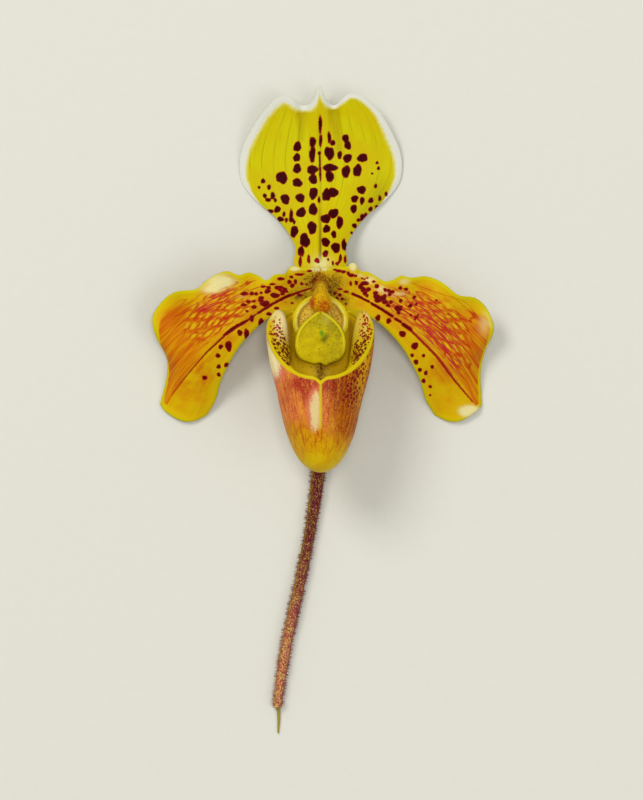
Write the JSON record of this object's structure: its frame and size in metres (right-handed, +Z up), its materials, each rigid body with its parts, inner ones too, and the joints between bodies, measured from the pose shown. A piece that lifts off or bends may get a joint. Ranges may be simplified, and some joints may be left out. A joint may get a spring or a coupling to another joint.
{
  "type": "slipper orchid flower",
  "caption": "Cut slipper orchid bloom laid on its back: wide dorsal sepal, wavy petals, pouch-shaped lip, shield and column, fused lower sepals, ribbed ovary, bract and hairy stem.",
  "frame": {"origin": "on the table under the ovary's flat resting spot, on the flower's middle line", "axes": "+X to the viewer's right across the flower, +Y towards the tip of the dorsal sepal and along the flower's length, +Z up out of the table towards the viewer"},
  "size_m": [0.1089, 0.207, 0.0423],
  "materials": {
    "sepal_yellow": "satin petal, yellow with a white edge and dark maroon spots",
    "sepal_green": "satin sepal, pale yellow green with darker veins",
    "petal_orange": "glossy petal, orange with red net veins, a yellow edge and maroon blotches",
    "pouch_russet": "waxy gloss, russet red fading to yellow, with a yellow rim",
    "shield_lemon": "grainy satin, lemon yellow with a green boss and orange hairs",
    "column_cream": "satin, cream yellow",
    "stem_purple": "matte, maroon over green, with short purple hairs",
    "bract_green": "matte green with purple flecks"
  },
  "bodies": {
    "root": {"dorsal_sepal": "sepal_yellow", "synsepal": "sepal_green", "petal_left": "petal_orange", "petal_right": "petal_orange", "lip_pouch": "pouch_russet", "staminode": "shield_lemon", "column": "column_cream", "ovary": "stem_purple", "stem": "stem_purple", "bract": "bract_green"}
  },
  "joints": []
}
